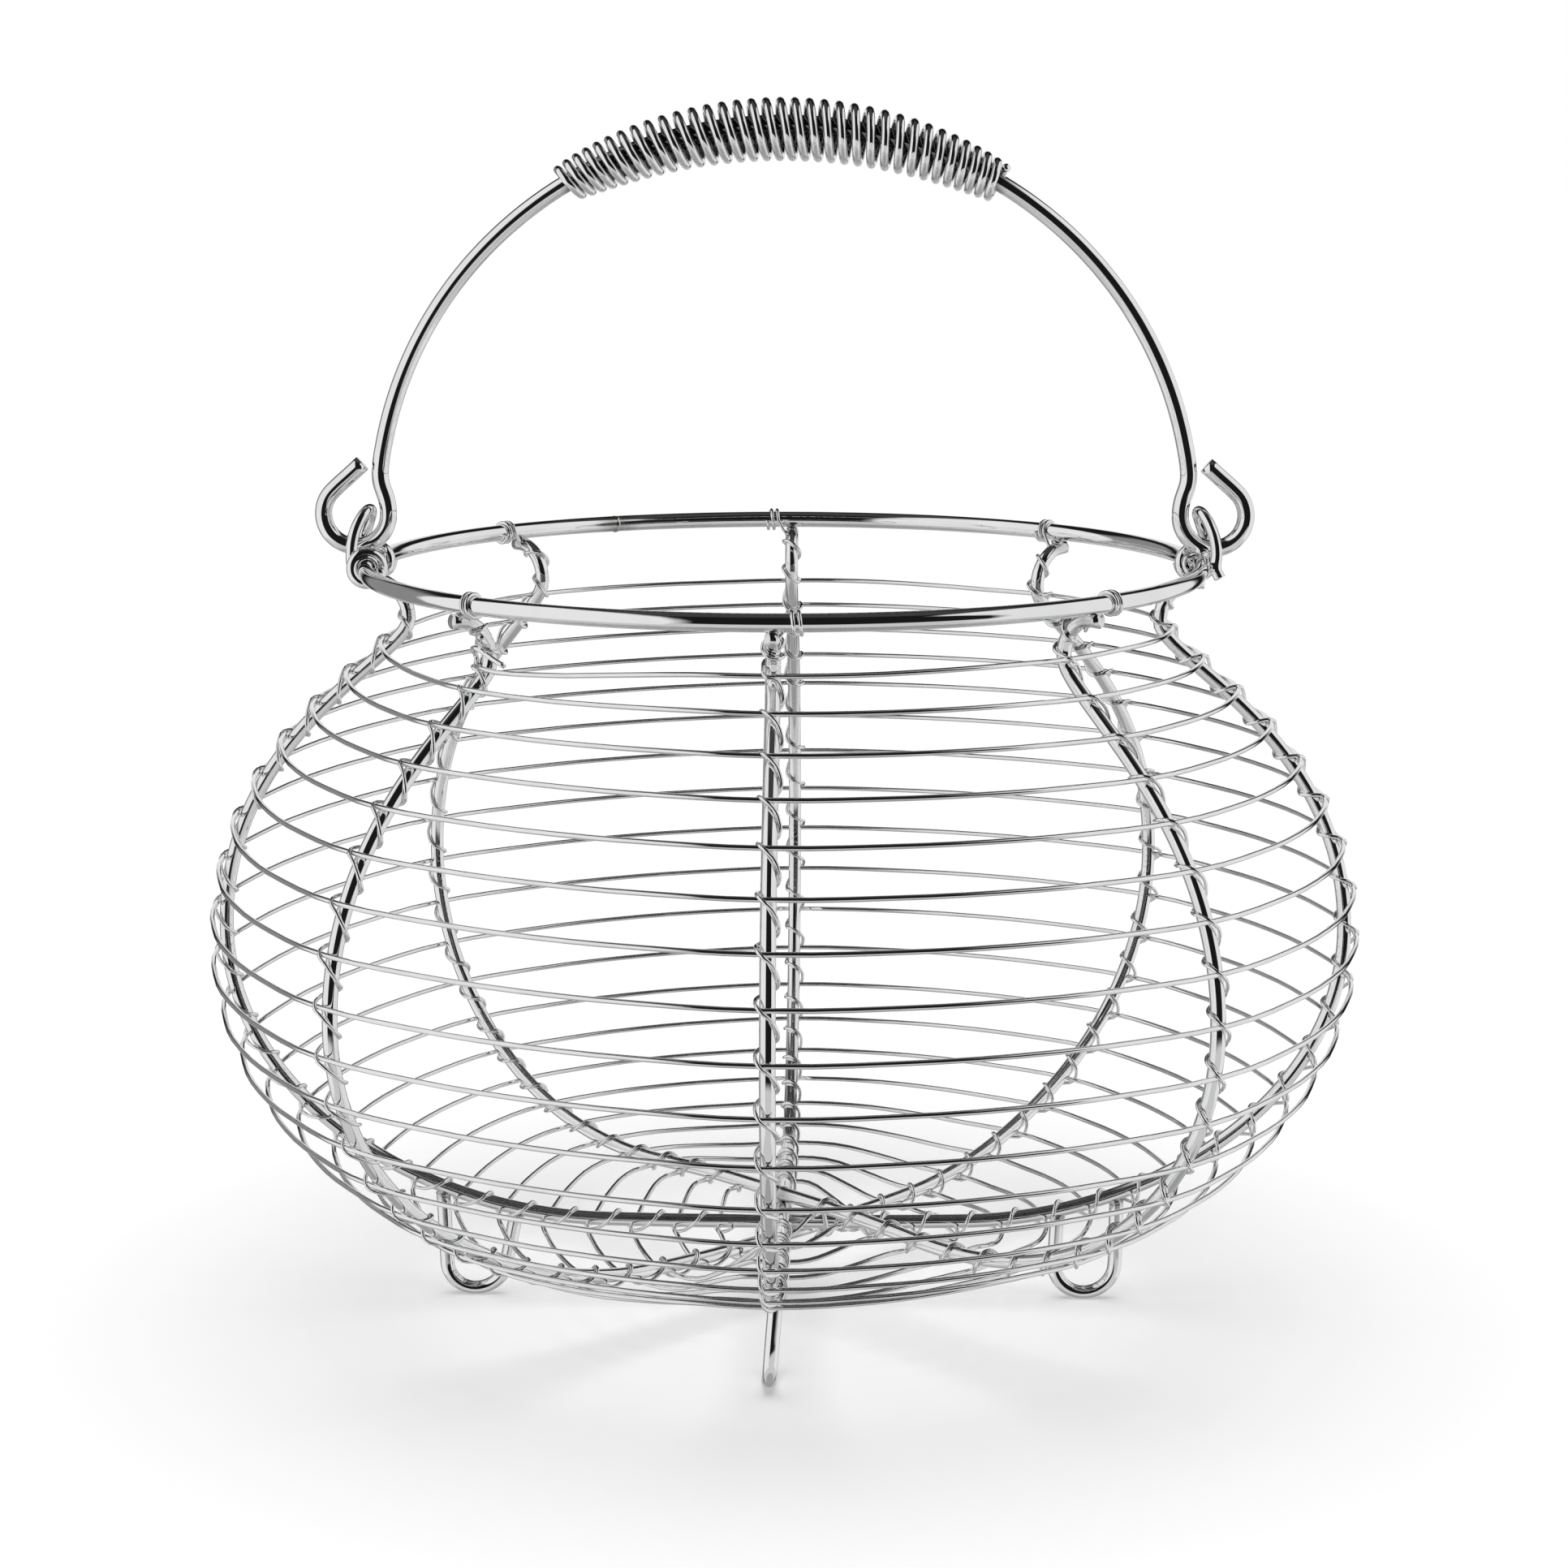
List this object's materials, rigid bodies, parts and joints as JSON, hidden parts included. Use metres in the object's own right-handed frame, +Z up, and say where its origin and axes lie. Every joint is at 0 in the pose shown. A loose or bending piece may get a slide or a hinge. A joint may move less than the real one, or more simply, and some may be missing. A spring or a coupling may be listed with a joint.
{
  "type": "wire egg basket",
  "caption": "Round-bellied open wire basket with a drawn-in neck, a spiral wire weave bound to bent ribs, loop feet, and a swinging bail handle with a coiled wire grip.",
  "frame": {"origin": "on the floor, under the centre of the basket", "axes": "+Z up, +X to the right ear as the picture shows it, -Y towards the camera"},
  "size_m": [0.2447, 0.245, 0.2541],
  "materials": {
    "heavy_wire": "bright chrome plate",
    "fine_wire": "bright chrome plate",
    "grip_wire": "bright chrome plate"
  },
  "bodies": {
    "basket": {"rim_hoop": "heavy_wire", "rib_left_right": "heavy_wire", "rib_front_left_back_right": "heavy_wire", "rib_front_back": "heavy_wire", "rib_back_left_front_right": "heavy_wire", "weave_shoulder": "fine_wire", "weave_belly": "fine_wire", "weave_lower_side": "fine_wire", "weave_base": "fine_wire", "binding_right": "fine_wire", "binding_back_right": "fine_wire", "binding_back": "fine_wire", "binding_back_left": "fine_wire", "binding_left": "fine_wire", "binding_front_left": "fine_wire", "binding_front": "fine_wire", "binding_front_right": "fine_wire", "foot_right": "heavy_wire", "foot_back": "heavy_wire", "foot_left": "heavy_wire", "foot_front": "heavy_wire", "ear_right": "heavy_wire", "ear_left": "heavy_wire"},
    "bail": {"bail": "heavy_wire", "grip_coil": "grip_wire"}
  },
  "joints": [
    {"name": "bail_swing", "type": "hinge", "parent": "basket", "child": "bail", "pos_m": [0, 0, 0.1625], "axis": [1, 0, 0], "range_deg": [-77, 77]}
  ]
}
